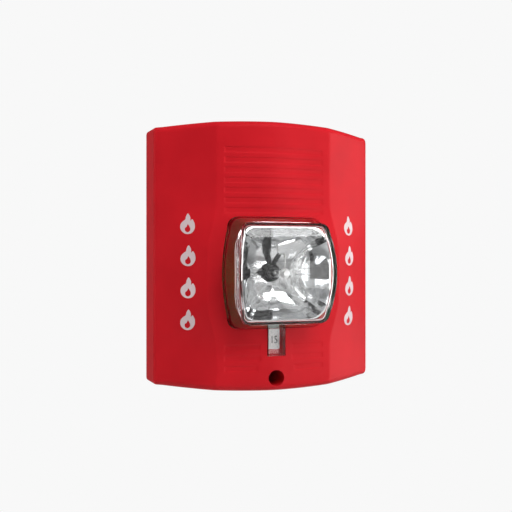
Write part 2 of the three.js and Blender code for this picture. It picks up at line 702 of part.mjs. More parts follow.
housing.add(
  node('front_cover', frontCover(), redPlastic),
  node('strobe_lens', strobeLens(), clearPlastic),
  node('reflector', reflectorBowl(), metallised),
  node('flash_tube', rod(tube.radius, tube.rearDepth, tube.frontDepth, 0, lensZ), quartz),
  node('tube_end_cap', tubeEndCap(), steel),
  node('tube_holder', tubeHolderBody(), blackRubber),
  node('return_lead', returnLead(), steel),
  node('lead_sleeve', leadSleeve(), blackRubber),
  node('trigger_lead', triggerLead(), steel),
  node('rear_cover', rearCoverBody(), blackPlastic),
  node('circuit_board', circuitBoard(), laminate),
  node('candela_selector', candelaSelector(), whitePlastic),
  node('tone_switch', toneSwitchBody(), blackPlastic),
  node('tone_switch_rotor', toneSwitchRotor(), whitePlastic,
    toneSwitch.x, -toneSwitch.rotorDepth, toneSwitch.z),
  node('sounder_cup', sounderCup(), greyPlastic),
  node('sounder_disc', sounderDisc(), brass),
  node('flash_capacitor', flashCapacitor(), blackPlastic),
  node('trigger_transformer', triggerTransformer(), copper),
  node('inductor', inductorDrum(), blackPlastic),
  node('cover_screw', coverScrewBody(), steel, 0, -coverScrew.tipDepth, screwZ),
  node('screw_retainer', screwRetainer(), steel),
)

// The rear-cover screws are driven from the back, so their heads face the wall.
rearScrewPlaces().forEach(({ x, z }, index) => {
  const { headRadius, head, shankRadius, length } = rearScrew
  const body = crossScrew(headRadius, head, shankRadius, length, head / 2)
  const screw = node(`rear_screw_${index + 1}`, body, steel)
  screw.rotation.z = Math.PI
  screw.position.set(x, -(rearCover.rearDepth - gap + length), z)
  housing.add(screw)
})

const hornStrobe = new THREE.Group()
hornStrobe.add(wallAssembly, housing)

export default hornStrobe
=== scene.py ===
import json
import math

import bmesh
import bpy
import numpy as np
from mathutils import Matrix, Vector

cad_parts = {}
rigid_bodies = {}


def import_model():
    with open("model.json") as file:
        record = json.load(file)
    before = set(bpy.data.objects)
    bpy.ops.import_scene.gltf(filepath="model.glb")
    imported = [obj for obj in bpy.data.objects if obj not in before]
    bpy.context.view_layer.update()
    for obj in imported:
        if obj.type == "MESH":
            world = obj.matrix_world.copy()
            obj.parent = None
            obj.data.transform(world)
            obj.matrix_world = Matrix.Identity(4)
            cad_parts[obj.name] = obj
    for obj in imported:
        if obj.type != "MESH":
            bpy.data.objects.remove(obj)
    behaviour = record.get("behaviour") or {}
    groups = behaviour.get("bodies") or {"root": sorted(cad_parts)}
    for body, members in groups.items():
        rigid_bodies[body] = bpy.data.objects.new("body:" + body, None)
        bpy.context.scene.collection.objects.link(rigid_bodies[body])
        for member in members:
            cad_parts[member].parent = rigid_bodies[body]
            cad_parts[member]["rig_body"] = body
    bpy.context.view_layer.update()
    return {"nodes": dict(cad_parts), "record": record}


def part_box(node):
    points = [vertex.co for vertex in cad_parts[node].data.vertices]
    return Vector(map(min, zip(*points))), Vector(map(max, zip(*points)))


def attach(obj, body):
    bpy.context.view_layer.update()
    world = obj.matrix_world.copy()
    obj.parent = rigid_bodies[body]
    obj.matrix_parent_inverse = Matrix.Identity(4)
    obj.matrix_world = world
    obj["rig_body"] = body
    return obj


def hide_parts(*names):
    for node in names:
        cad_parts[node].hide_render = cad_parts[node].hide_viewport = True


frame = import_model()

mm = 0.001
scene = bpy.context.scene


# a socket that can be added, subtracted and multiplied
class Wire:
    def __init__(self, paint, socket):
        self.paint = paint
        self.socket = socket

    def calc(self, operation, first, second):
        return self.paint.add("ShaderNodeMath", {"operation": operation}, {0: first, 1: second})

    def __add__(self, other):
        return self.calc("ADD", self, other)

    def __radd__(self, other):
        return self.calc("ADD", other, self)

    def __sub__(self, other):
        return self.calc("SUBTRACT", self, other)

    def __rsub__(self, other):
        return self.calc("SUBTRACT", other, self)

    def __mul__(self, other):
        return self.calc("MULTIPLY", self, other)

    def __rmul__(self, other):
        return self.calc("MULTIPLY", other, self)


# the nodes of a material or of the world
class Paint:
    def __init__(self, owner):
        owner.use_nodes = True
        self.owner = owner
        self.tree = owner.node_tree
        self.tree.nodes.clear()

    def add(self, kind, settings=None, sockets=None, out=0):
        node = self.tree.nodes.new(kind)
        for key, value in (settings or {}).items():
            setattr(node, key, value)
        for key, value in (sockets or {}).items():
            if isinstance(value, Wire):
                self.tree.links.new(value.socket, node.inputs[key])
            else:
                node.inputs[key].default_value = value
        return Wire(self, node.outputs[out]) if node.outputs else None

    # noise in the piece's own space, so size is a length
    def noise(self, size, detail, stretch=(1, 1, 1)):
        place = self.add("ShaderNodeTexCoord", out=3)
        spot = self.add("ShaderNodeMapping", None, {0: place, 3: stretch})
        return self.add("ShaderNodeTexNoise", None, {"Vector": spot, "Scale": 1 / size, "Detail": detail})

    # 0 below low, 1 above high
    def between(self, value, low, high):
        return self.add("ShaderNodeMapRange", None, {0: value, 1: low, 2: high})

    def mixColour(self, share, first, second):
        return self.add("ShaderNodeMix", {"data_type": "RGBA"}, {0: share, 6: first, 7: second}, out=2)

    def mixShader(self, share, first, second):
        return self.add("ShaderNodeMixShader", None, {0: share, 1: first, 2: second})

    def surface(self, colour, roughness, height=None, lift=None, fixed=None):
        sockets = {"Base Color": colour, "Roughness": roughness}
        if height:
            bump = {"Height": height, "Strength": 1.0, "Distance": lift}
            sockets["Normal"] = self.add("ShaderNodeBump", None, bump)
        sockets.update(fixed or {})
        return self.add("ShaderNodeBsdfPrincipled", None, sockets)

    def done(self, shader, output="ShaderNodeOutputMaterial"):
        self.add(output, None, {"Surface": shader})
        return self.owner


def newPaint(name):
    return Paint(bpy.data.materials.new(name))


def rgb(red, green, blue):
    return (red, green, blue, 1)


def darker(colour, share):
    return tuple(share * part for part in colour[:3]) + (1,)


mouldedRed = {
    "colour": rgb(0.67, 0.0135, 0.022), "deep": rgb(0.60, 0.0115, 0.019), "cloudRange": (0.35, 0.65),
    "roughness": 0.4, "grain": 0.35 * mm, "grainRough": 0.12, "grainLift": 0.012 * mm,
    "cloud": 30 * mm, "cloudRough": 0.08, "sheen": 0.13,
}


def makeMouldedRed():
    paint = newPaint("moulded_red")
    cloud = paint.noise(mouldedRed["cloud"], 3)
    grain = paint.noise(mouldedRed["grain"], 2)
    patches = paint.between(cloud, *mouldedRed["cloudRange"])
    tone = paint.mixColour(patches, mouldedRed["deep"], mouldedRed["colour"])
    rough = mouldedRed["roughness"] + (grain - 0.5) * mouldedRed["grainRough"]
    rough = rough + (cloud - 0.5) * mouldedRed["cloudRough"]
    gloss = {"Specular IOR Level": mouldedRed["sheen"]}
    return paint.done(paint.surface(tone, rough, grain, mouldedRed["grainLift"], gloss))


plastic = {"cloud": 18 * mm, "cloudRange": (0.3, 0.7), "cloudShade": 0.86, "grainRough": 0.14}


def makePlastic(name, colour, roughness, grain=0.4 * mm, lift=0.01 * mm):
    paint = newPaint(name)
    fine = paint.noise(grain, 3)
    broad = paint.noise(plastic["cloud"], 2)
    patches = paint.between(broad, *plastic["cloudRange"])
    tone = paint.mixColour(patches, darker(colour, plastic["cloudShade"]), colour)
    rough = roughness + (fine - 0.5) * plastic["grainRough"]
    return paint.done(paint.surface(tone, rough, fine, lift))


metal = {
    "cloud": 6 * mm, "cloudRange": (0.3, 0.7), "cloudShade": 0.82, "cloudRough": 0.1,
    "grain": 0.25 * mm, "grainRough": 0.2, "grainLift": 0.004 * mm,
}


def makeMetal(name, colour, roughness, stretch=(1, 1, 1)):
    paint = newPaint(name)
    fine = paint.noise(metal["grain"], 3, stretch)
    broad = paint.noise(metal["cloud"], 2)
    patches = paint.between(broad, *metal["cloudRange"])
    tone = paint.mixColour(patches, darker(colour, metal["cloudShade"]), colour)
    rough = roughness + (fine - 0.5) * metal["grainRough"] + (broad - 0.5) * metal["cloudRough"]
    return paint.done(paint.surface(tone, rough, fine, metal["grainLift"], {"Metallic": 1.0}))


clear = {"wave": 9 * mm, "smear": 0.6 * mm, "smearRange": (0.45, 0.75), "smearRough": 0.02}


# clear parts bend light, and let lamp light pass so that what is inside stays lit
def makeClear(name, colour, bendIndex, wobble):
    paint = newPaint(name)
    wave = paint.noise(clear["wave"], 2)
    smear = paint.noise(clear["smear"], 2)
    rough = paint.between(smear, *clear["smearRange"]) * clear["smearRough"]
    glassy = {"Transmission Weight": 1.0, "IOR": bendIndex}
    glass = paint.surface(colour, rough, wave, wobble, glassy)
    through = paint.add("ShaderNodeBsdfTransparent", None, {0: colour})
    lampLight = paint.add("ShaderNodeLightPath", out=1)
    return paint.done(paint.mixShader(lampLight, glass, through))


mirror = {
    "colour": rgb(0.93, 0.935, 0.94), "dusty": rgb(0.84, 0.85, 0.86), "dust": 0.5 * mm,
    "dustRange": (0.4, 0.8), "roughness": 0.08, "dullRange": (0.5, 0.8), "dullRough": 0.06,
    "wave": 7 * mm, "waveLift": 0.05 * mm,
}


def makeMirror():
    paint = newPaint("metallised")
    wave = paint.noise(mirror["wave"], 2)
    dust = paint.noise(mirror["dust"], 3)
    tone = paint.mixColour(paint.between(dust, *mirror["dustRange"]), mirror["colour"], mirror["dusty"])
    rough = mirror["roughness"] + paint.between(dust, *mirror["dullRange"]) * mirror["dullRough"]
    return paint.done(paint.surface(tone, rough, wave, mirror["waveLift"], {"Metallic": 1.0}))


laminate = {
    "dark": rgb(0.012, 0.10, 0.035), "light": rgb(0.02, 0.15, 0.05), "weave": 1.2 * mm,
    "weaveStretch": (1, 1, 6), "weaveRange": (0.35, 0.65), "weaveLift": 0.01 * mm,
    "roughness": 0.32, "grain": 0.5 * mm, "grainRough": 0.1,
}


def makeLaminate():
    paint = newPaint("laminate")
    fine = paint.noise(laminate["grain"], 3)
    weave = paint.noise(laminate["weave"], 1, laminate["weaveStretch"])
    tone = paint.mixColour(paint.between(weave, *laminate["weaveRange"]), laminate["dark"], laminate["light"])
    rough = laminate["roughness"] + (fine - 0.5) * laminate["grainRough"]
    return paint.done(paint.surface(tone, rough, weave, laminate["weaveLift"]))


finish = {
    "red_plastic": makeMouldedRed(),
    "clear_lens": makeClear("clear_lens", rgb(0.985, 0.99, 0.99), 1.58, 0.02 * mm),
    "quartz": makeClear("quartz", rgb(0.99, 0.99, 0.99), 1.46, 0.005 * mm),
    "metallised": makeMirror(),
    "steel": makeMetal("steel", rgb(0.62, 0.62, 0.61), 0.3),
    "brass": makeMetal("brass", rgb(0.72, 0.52, 0.22), 0.28, (1, 1, 5)),
    "copper": makeMetal("copper", rgb(0.62, 0.27, 0.11), 0.35, (1, 8, 1)),
    "black_rubber": makePlastic("black_rubber", rgb(0.012, 0.012, 0.013), 0.62, 0.5 * mm, 0.02 * mm),
    "black_plastic": makePlastic("black_plastic", rgb(0.022, 0.022, 0.024), 0.45),
    "white_plastic": makePlastic("white_plastic", rgb(0.78, 0.78, 0.75), 0.42),
    "grey_plastic": makePlastic("grey_plastic", rgb(0.26, 0.265, 0.27), 0.48),
    "laminate": makeLaminate(),
}
whitePrint = makePlastic("white_print", rgb(0.96, 0.95, 0.94), 0.45, 0.3 * mm, 0.006 * mm)
flamePrint = makePlastic("flame_print", rgb(0.83, 0.66, 0.68), 0.5, 0.3 * mm, 0.006 * mm)
blackPrint = makePlastic("black_print", rgb(0.01, 0.01, 0.011), 0.5, 0.3 * mm, 0.004 * mm)
print("finishes made:", len(bpy.data.materials))


# faces point outwards, shading is smooth up to an angle in degrees
def tidy(piece, smoothAngle):
    work = bmesh.new()
    work.from_mesh(piece.data)
    bmesh.ops.recalc_face_normals(work, faces=work.faces)
    for face in work.faces:
        face.smooth = True
    for edge in work.edges:
        edge.smooth = len(edge.link_faces) == 2 and edge.calc_face_angle(0) < math.radians(smoothAngle)
    work.to_mesh(piece.data)
    work.free()
    if "even" not in piece.modifiers:
        piece.modifiers.new("even", "WEIGHTED_NORMAL").keep_sharp = True


# a piece that moves with a body of the frame
def addPiece(name, mesh, material, body, smoothAngle=None):
    mesh.name = name
    mesh.materials.clear()
    mesh.materials.append(material)
    piece = bpy.data.objects.new(name, mesh)
    scene.collection.objects.link(piece)
    if smoothAngle:
        tidy(piece, smoothAngle)
    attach(piece, body)
    return piece


def newPiece(name, points, faces, material, body, smoothAngle):
    mesh = bpy.data.meshes.new(name)
    mesh.from_pydata([tuple(point) for point in points], [], [tuple(face) for face in faces])
    return addPiece(name, mesh, material, body, smoothAngle)


# what is left when modifiers, or a curve's own settings, are applied
def appliedMesh(shape):
    bpy.context.view_layer.update()
    return bpy.data.meshes.new_from_object(shape.evaluated_get(bpy.context.evaluated_depsgraph_get()))


def curveMesh(name, curve):
    shape = bpy.data.objects.new(name + "_line", curve)
    scene.collection.objects.link(shape)
    mesh = appliedMesh(shape)
    bpy.data.objects.remove(shape)
    return mesh


def readPoints(mesh):
    flat = np.zeros(len(mesh.vertices) * 3)
    mesh.vertices.foreach_get("co", flat)
    return flat.reshape(-1, 3)


def writePoints(mesh, x, depth, z):
    mesh.vertices.foreach_set("co", np.stack([x * mm, -depth * mm, z * mm], axis=1).ravel())


def weld(mesh, reach=0.001 * mm):
    work = bmesh.new()
    work.from_mesh(mesh)
    bmesh.ops.remove_doubles(work, verts=work.verts, dist=reach)
    bmesh.ops.recalc_face_normals(work, faces=work.faces)
    work.to_mesh(mesh)
    work.free()


# closed loops with the same number of points, in mm as x, depth, z; closed joins the last to the first
def loft(loops, capFirst=True, closed=False):
    count = len(loops[0])
    points = [(x * mm, -depth * mm, z * mm) for loop in loops for x, depth, z in loop]
    faces = []
    for row in range(len(loops) if closed else len(loops) - 1):
        here = row * count
        there = (row + 1) % len(loops) * count
        for k in range(count):
            after = (k + 1) % count
            faces.append((here + k, here + after, there + after, there + k))
    if capFirst and not closed:
        faces.append(tuple(reversed(range(count))))
    if not closed:
        faces.append(tuple(range((len(loops) - 1) * count, len(loops) * count)))
    return points, faces


# loops of a piece turned about the depth axis; profile is a list of (radius, depth)
def turned(profile, x, z, steps):
    angles = [2 * math.pi * k / steps for k in range(steps)]
    return [
        [(x + radius * math.cos(a), depth, z + radius * math.sin(a)) for a in angles]
        for radius, depth in profile
    ]


turnedSmooth = 35
wireSmooth = 50


# a turned piece on the lens axis
def lathe(name, profile, material, body, steps=48, closed=False):
    points, faces = loft(turned(profile, 0, lens["z"], steps), closed=closed)
    return newPiece(name, points, faces, material, body, turnedSmooth)


# round wire in the middle plane, through (depth, height over the lens axis) in mm
def wire(name, route, radius, material, body, roundness=3):
    curve = bpy.data.curves.new(name, "CURVE")
    curve.dimensions = "3D"
    curve.bevel_depth = radius * mm
    curve.bevel_resolution = roundness
    curve.use_fill_caps = True
    line = curve.splines.new("NURBS")
    line.points.add(len(route) - 1)
    for point, (depth, height) in zip(line.points, route):
        point.co = (0, -depth * mm, (lens["z"] + height) * mm, 1)
    line.use_endpoint_u = True
    line.order_u = 3
    line.resolution_u = 8
    return addPiece(name, curveMesh(name, curve), material, body, wireSmooth)


def cutOrJoin(piece, other, operation):
    piece.modifiers.clear()
    change = piece.modifiers.new("shape", "BOOLEAN")
    change.object = other
    change.operation = operation
    change.solver = "MANIFOLD"
    mesh = appliedMesh(piece)
    piece.modifiers.clear()
    piece.data = mesh
    bpy.data.objects.remove(other)


# a solid that only cuts a piece or joins it
def newTool(loops):
    points, faces = loft(loops)
    mesh = bpy.data.meshes.new("tool")
    mesh.from_pydata(points, [], faces)
    work = bmesh.new()
    work.from_mesh(mesh)
    bmesh.ops.recalc_face_normals(work, faces=work.faces)
    work.to_mesh(mesh)
    work.free()
    piece = bpy.data.objects.new("tool", mesh)
    scene.collection.objects.link(piece)
    return piece


coverLow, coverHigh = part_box("front_cover")
cover = {
    "halfWidth": coverHigh.x / mm, "halfHeight": coverHigh.z / mm, "crown": -coverLow.y / mm, "wall": 2.5,
    "bandHalf": 31.4, "crownPower": 1.5, "creaseDepth": 41.6, "creaseFillet": 0.3,
    "sideDepth": 24.0, "sideDraft": 1.0, "wingBow": 0.5,
    "edgeDraft": 0.1, "edgeArch": 2.4, "archHalf": 59.5, "archRear": 0.25,   # top and bottom edges
    "swellZ": -10.0, "swellFlat": 12.0, "swellFade": 28.0, "swellOut": 5.0, "swellUp": 1.3,   # by the lens
    "cornerRadius": 2.0, "sideRadius": 1.0, "topRadius": 3.6, "radiusBlend": 6.0, "innerRounding": 0.25,
    "frontLean": 0.9,   # the front slopes, so its distance is a little less than its depth
    "smooth": 25,
}
groove = {
    "height": 2.8, "depth": 0.25, "soft": 0.9, "halfLength": 27.5,
    "upperTop": 56.7, "upperPitch": 5.25, "upperCount": 7,
    "lowerTop": -46.3, "lowerPitch": 5.55,
    "lowerBreaks": [8.3, 8.3, 9.6],   # half of the plain middle of each lower groove
}
# shares run 0 to 1 over the band and 1 to 2 over a wing
coverGrid = {
    "band": list(np.linspace(0, 0.9, 26)) + [0.93, 0.955, 0.975, 0.99, 1.0],
    "wing": [1.01, 1.025, 1.045, 1.07] + list(np.linspace(1.1, 1.92, 18)) + [1.95, 1.975, 1.99, 2.0],
    "grooveEnd": 0.012, "grooveBreak": 0.25, "grooveEdge": (-0.32, -0.12, 0.12, 0.32),
    "rows": 150, "closest": 0.1,
    "skirt": [0.97, 0.94, 0.9, 0.84, 0.76, 0.62, 0.45, 0.28, 0.12, 0.0],   # share of the front's depth
    "rounds": 14, "step": 0.01, "leastSlope": 0.05,
}


def smoothStep(value):
    t = np.clip(value, 0, 1)
    return t * t * (3 - 2 * t)


def grooveRows():
    upper = [(groove["upperTop"] - k * groove["upperPitch"], 0) for k in range(groove["upperCount"])]
    lower = [(groove["lowerTop"] - k * groove["lowerPitch"], b) for k, b in enumerate(groove["lowerBreaks"])]
    return upper + lower


def grooveCut(x, z):
    cutDepth = np.zeros_like(x)
    half = groove["height"] / 2
    soft = groove["soft"]
    for top, middleGap in grooveRows():
        inHeight = smoothStep((half - np.abs(z - top + half)) / soft + 0.5)
        inLength = smoothStep((groove["halfLength"] - np.abs(x)) / soft)
        if middleGap:
            inLength = inLength * smoothStep((np.abs(x) - middleGap) / soft)
        cutDepth += inHeight * inLength * groove["depth"]
    return cutDepth


def swell(z):
    return 1 - smoothStep((np.abs(z - cover["swellZ"]) - cover["swellFlat"]) / cover["swellFade"])


def creaseX(z):
    return cover["bandHalf"] + cover["swellOut"] * swell(z)


# curved band in the middle, a sloping wing on each side, with a soft crease between them
def frontDepth(x, z):
    across = np.abs(x)
    edgeX = creaseX(z)
    edgeDepth = cover["creaseDepth"] + cover["swellUp"] * swell(z)
    band = cover["crown"] - (cover["crown"] - edgeDepth) * (across / edgeX) ** cover["crownPower"]
    share = (across - edgeX) / (cover["halfWidth"] - cover["sideDraft"] - edgeX)
    wing = edgeDepth + (cover["sideDepth"] - edgeDepth) * share + 4 * cover["wingBow"] * share * (1 - share)
    near = np.maximum(cover["creaseFillet"] - np.abs(band - wing), 0) / cover["creaseFillet"]
    return np.minimum(band, wing) - near * near * cover["creaseFillet"] / 4


# larger of two distances, with a rounded edge between them
def roundMax(first, second, radius):
    reach = np.sqrt(np.maximum(first + radius, 0) ** 2 + np.maximum(second + radius, 0) ** 2)
    return np.minimum(-radius, np.maximum(first, second)) + reach


# below zero inside the cover's outer skin, or inside its hollow when inset is the wall
def coverField(points, inset):
    x, depth, z = points.T
    front = (depth - frontDepth(x, z) + inset) * cover["frontLean"]
    if inset == 0:
        front = front + grooveCut(x, z)
    side = np.abs(x) - cover["halfWidth"] + cover["sideDraft"] * depth / cover["sideDepth"] + inset
    bend = cover["archRear"] + (1 - cover["archRear"]) * np.clip(depth / cover["sideDepth"], 0, 1)
    arch = cover["halfHeight"] - cover["edgeArch"] * bend * (x / cover["archHalf"]) ** 2
    top = np.abs(z) - arch + cover["edgeDraft"] * depth / cover["crown"] + inset
    onTop = np.clip((top - side) / cover["radiusBlend"] + 0.5, 0, 1)
    shrink = cover["innerRounding"] if inset else 1.0
    edge = (cover["sideRadius"] + (cover["topRadius"] - cover["sideRadius"]) * onTop) * shrink
    return roundMax(front, roundMax(side, top, cover["cornerRadius"] * shrink), edge)


# moves points on to the skin; the rear ones stay in the rear plane
def settle(points, inset, onRear):
    step = coverGrid["step"]
    for _ in range(coverGrid["rounds"]):
        value = coverField(points, inset)
        slope = np.stack([
            (coverField(points + step * axis, inset) - value) / step for axis in np.eye(3)
        ], axis=1)
        slope[onRear, 1] = 0
        steepness = np.maximum((slope ** 2).sum(1), coverGrid["leastSlope"])
        points = points - (value / steepness)[:, None] * slope
    return points


def coverLines():
    grid = coverGrid
    ends = [groove["halfLength"] / cover["bandHalf"] - k * grid["grooveEnd"] for k in range(3)]
    plain = sorted(set(groove["lowerBreaks"]))
    breaks = [(b + k * grid["grooveBreak"]) / cover["bandHalf"] for b in plain for k in range(3)]
    half = sorted(grid["band"] + grid["wing"] + ends + breaks)
    across = [-s for s in reversed(half)] + half[1:]
    rise = list(np.linspace(-cover["halfHeight"], cover["halfHeight"], grid["rows"]))
    for top, _ in grooveRows():
        for edge in (top, top - groove["height"]):
            rise += [edge + k for k in grid["grooveEdge"]]
    rise.sort()
    keep = [rise[0]]
    for z in rise[1:]:
        if z - keep[-1] > grid["closest"]:
            keep.append(z)
    keep[-1] = cover["halfHeight"]
    return np.array(across), np.array(keep)


# outer skin and hollow share one grid: the front, then loops back to the rear edge
def coverSkin(inset, across, rise):
    size = 1 - inset / cover["halfWidth"]
    zs = np.repeat((rise * size)[:, None], len(across), 1)
    edgeX = creaseX(zs)
    share = np.abs(across)[None, :]
    wingSpan = cover["halfWidth"] - inset - edgeX
    xs = np.where(share <= 1, share * edgeX, edgeX + (share - 1) * wingSpan) * np.sign(across)[None, :]
    front = np.stack([xs.ravel(), frontDepth(xs, zs).ravel() - inset, zs.ravel()], axis=1)
    wide, tall = len(across), len(rise)
    rim = list(range(wide))
    rim += [row * wide + wide - 1 for row in range(1, tall)]
    rim += [(tall - 1) * wide + k for k in range(wide - 2, -1, -1)]
    rim += [row * wide for row in range(tall - 2, 0, -1)]
    points = [front]
    for part in coverGrid["skirt"]:
        loop = front[rim].copy()
        loop[:, 1] *= part
        points.append(loop)
    faces = []
    for row in range(tall - 1):
        for k in range(wide - 1):
            here = row * wide + k
            faces.append((here, here + 1, here + wide + 1, here + wide))
    previous = rim
    start = wide * tall
    for _ in coverGrid["skirt"]:
        current = list(range(start, start + len(rim)))
        for k in range(len(rim)):
            after = (k + 1) % len(rim)
            faces.append((previous[k], current[k], current[after], previous[after]))
        previous = current
        start += len(rim)
    points = np.concatenate(points)
    onRear = np.zeros(len(points), bool)
    onRear[previous] = True
    points[onRear, 1] = 0
    return settle(points, inset, onRear), faces, previous


def makeCover():
    across, rise = coverLines()
    outer, outerFaces, outerRim = coverSkin(0, across, rise)
    inner, innerFaces, innerRim = coverSkin(cover["wall"], across, rise)
    offset = len(outer)
    faces = outerFaces + [tuple(offset + k for k in reversed(face)) for face in innerFaces]
    for k in range(len(outerRim)):
        after = (k + 1) % len(outerRim)
        faces.append((outerRim[k], offset + innerRim[k], offset + innerRim[after], outerRim[after]))
    points = np.concatenate([outer, inner])
    points = [(x * mm, -depth * mm, z * mm) for x, depth, z in points]
    return newPiece("red_cover", points, faces, finish["red_plastic"], "housing",
                    cover["smooth"])


# barrel outline of the lens and its opening: bowed sides, round corners
def barrel(width, height, radius, bow):
    steps = lens["outlineSteps"]
    x = width / 2 - bow
    z = height / 2
    moves = [
        ((x - radius, -z), None), ((x, -z + radius), (x, -z)),
        ((x, z - radius), (x + 2 * bow, 0)), ((x - radius, z), (x, z)),
        ((-x + radius, z), None), ((-x, z - radius), (-x, z)),
        ((-x, -z + radius), (-x - 2 * bow, 0)), ((-x + radius, -z), (-x, -z)),
    ]
    outline = []
    here = (-x + radius, -z)
    for there, control in moves:
        middle = control or ((here[0] + there[0]) / 2, (here[1] + there[1]) / 2)
        for k in range(steps):
            t = k / steps
            outline.append(tuple(
                (1 - t) ** 2 * here[i] + 2 * t * (1 - t) * middle[i] + t * t * there[i] for i in (0, 1)
            ))
        here = there
    return outline


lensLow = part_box("strobe_lens")[0]
lens = {
    "z": -8.8, "front": -lensLow.y / mm, "rear": 36.6, "neck": 46.5,
    "rearWidth": 57.0, "rearHeight": 58.0, "frontWidth": 51.6, "frontHeight": 51.0,
    "wall": 1.6, "radius": 7.0, "bow": 2.6, "edge": 1.1, "flange": 1.6, "flangeReach": 1.8, "gap": 0.3,
    "frontRadius": 5.5, "frontBow": 2.4, "curve": 6.0, "wallCorner": 0.7,
    "innerEdge": 1.2, "innerSides": 0.93,   # rounding inside the front, and how far up the sides run straight
    "outlineSteps": 10, "sideRows": 10, "edgeSteps": 6, "innerEdgeSteps": 3, "smooth": 30,
    "frontRings": (0.9, 0.78, 0.64, 0.5, 0.36, 0.22, 0.1, 0.02),
}
tab = {"halfWidth": 4.8, "bottom": -52.2, "front": 46.8, "rear": 40.4, "round": 0.7, "overlap": 1.0}
well = {
    "z": -64.0, "radius": 4.2, "outer": 5.9, "rear": 20.0, "floor": 22.0, "shank": 2.5,
    "rimWider": 0.6, "rimBelow": 1.2, "cutFront": 60.0, "steps": 64, "shankSteps": 32,
}
soundSlot = {
    "count": 7, "pitch": 6.5, "halfWidth": 1.2, "rear": 14.0, "front": 30.0, "endSteps": 8,
    "cut": (62.0, 74.0),   # heights between which the top wall is cut
}
rearScrew = {
    "x": 51.0, "z": 47.0, "post": 3.6, "bore": 1.5, "rear": 8.3, "boreFront": 17.3,
    "postSteps": 32, "boreSteps": 24,
}
frontCut = (20.0, 70.0)   # depths between which a tool passes the cover's front


def barrelLoop(width, height, radius, depth):
    return [(x, depth, z + lens["z"]) for x, z in barrel(width, height, radius, lens["bow"])]


# sound slot with round ends, cut through the top wall
def slotTool(x):
    radius = soundSlot["halfWidth"]
    outline = []
    for middle, start in ((soundSlot["front"] - radius, 0), (soundSlot["rear"] + radius, 180)):
        for k in range(soundSlot["endSteps"] + 1):
            angle = math.radians(start + k * 180 / soundSlot["endSteps"])
            outline.append((x + radius * math.cos(angle), middle + radius * math.sin(angle)))
    return newTool([[(px, depth, z) for px, depth in outline] for z in soundSlot["cut"]])


# lens opening with its notch, screw posts, bores, screw well and sound slots
def cutCover(piece):
    slack = 2 * lens["gap"]
    size = (lens["rearWidth"] + slack, lens["rearHeight"] + slack, lens["radius"])
    cutOrJoin(piece, newTool([barrelLoop(*size, depth) for depth in frontCut]), "DIFFERENCE")
    side = tab["halfWidth"] + lens["gap"]
    low, high = tab["bottom"] - lens["gap"], lens["z"]
    notch = [(-side, low), (side, low), (side, high), (-side, high)]
    cutOrJoin(piece, newTool([[(x, depth, z) for x, z in notch] for depth in frontCut]), "DIFFERENCE")
    corners = [(sx * rearScrew["x"], sz * rearScrew["z"]) for sx in (-1, 1) for sz in (-1, 1)]
    posts = [(x, z, rearScrew["post"], rearScrew["rear"]) for x, z in corners]
    for x, z, radius, rear in posts + [(0, well["z"], well["outer"], well["rear"])]:
        depth = float(frontDepth(np.array([abs(x) + radius]), np.array([z]))[0]) - cover["wall"] / 2
        post = [(radius, rear), (radius, depth)]
        cutOrJoin(piece, newTool(turned(post, x, z, rearScrew["postSteps"])), "UNION")
    for x, z in corners:
        bore = [(rearScrew["bore"], 0), (rearScrew["bore"], rearScrew["boreFront"])]
        cutOrJoin(piece, newTool(turned(bore, x, z, rearScrew["boreSteps"])), "DIFFERENCE")
    hole = [
        (well["radius"], well["floor"]), (well["radius"], cover["crown"] - well["rimBelow"]),
        (well["radius"] + well["rimWider"], well["cutFront"]),
    ]
    cutOrJoin(piece, newTool(turned(hole, 0, well["z"], well["steps"])), "DIFFERENCE")
    shank = [(well["shank"], 0), (well["shank"], well["cutFront"])]
    cutOrJoin(piece, newTool(turned(shank, 0, well["z"], well["shankSteps"])), "DIFFERENCE")
    for k in range(soundSlot["count"]):
        cutOrJoin(piece, slotTool((k - (soundSlot["count"] - 1) / 2) * soundSlot["pitch"]), "DIFFERENCE")
    tidy(piece, cover["smooth"])


redCover = makeCover()
cutCover(redCover)
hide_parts("front_cover")
print("cover:", len(redCover.data.polygons), "faces")


# a loop round the dome: share 0 at the neck, 1 at the front, which falls back towards top and bottom
def domeLoop(share, inset, drop=0.0, size=1.0):
    width = lens["rearWidth"] + (lens["frontWidth"] - lens["rearWidth"]) * share - 2 * inset
    height = lens["rearHeight"] + (lens["frontHeight"] - lens["rearHeight"]) * share - 2 * inset
    radius = lens["radius"] + (lens["frontRadius"] - lens["radius"]) * share - inset * lens["wallCorner"]
    bow = lens["bow"] + (lens["frontBow"] - lens["bow"]) * share
    depth = lens["neck"] + (lens["front"] - lens["neck"]) * share - drop
    half = lens["frontHeight"] / 2
    outline = [(x * size, z * size) for x, z in barrel(width, height, radius, bow)]
    return [(x, depth - lens["curve"] * share * (z / half) ** 2, z + lens["z"]) for x, z in outline]


# quarter round from the sides to the front
def domeEdge(inset, radius, steps):
    loops = []
    for k in range(steps):
        a = math.radians(90 * (k + 1) / steps)
        loops.append(domeLoop(1, inset + radius * (1 - math.cos(a)), inset + radius * (1 - math.sin(a))))
    return loops


# tab block with a softened front edge
def tabLoops():
    top = lens["z"] - lens["rearHeight"] / 2 + tab["overlap"]
    half = tab["halfWidth"]
    soft = tab["round"]
    front = tab["front"]
    middle = 0.3 * soft
    loops = []
    for inset, depth in ((0, tab["rear"]), (0, front - soft), (middle, front - middle), (soft, front)):
        left, right, bottom = inset - half, half - inset, tab["bottom"] + inset
        loops.append([(left, depth, bottom), (right, depth, bottom), (right, depth, top), (left, depth, top)])
    return loops


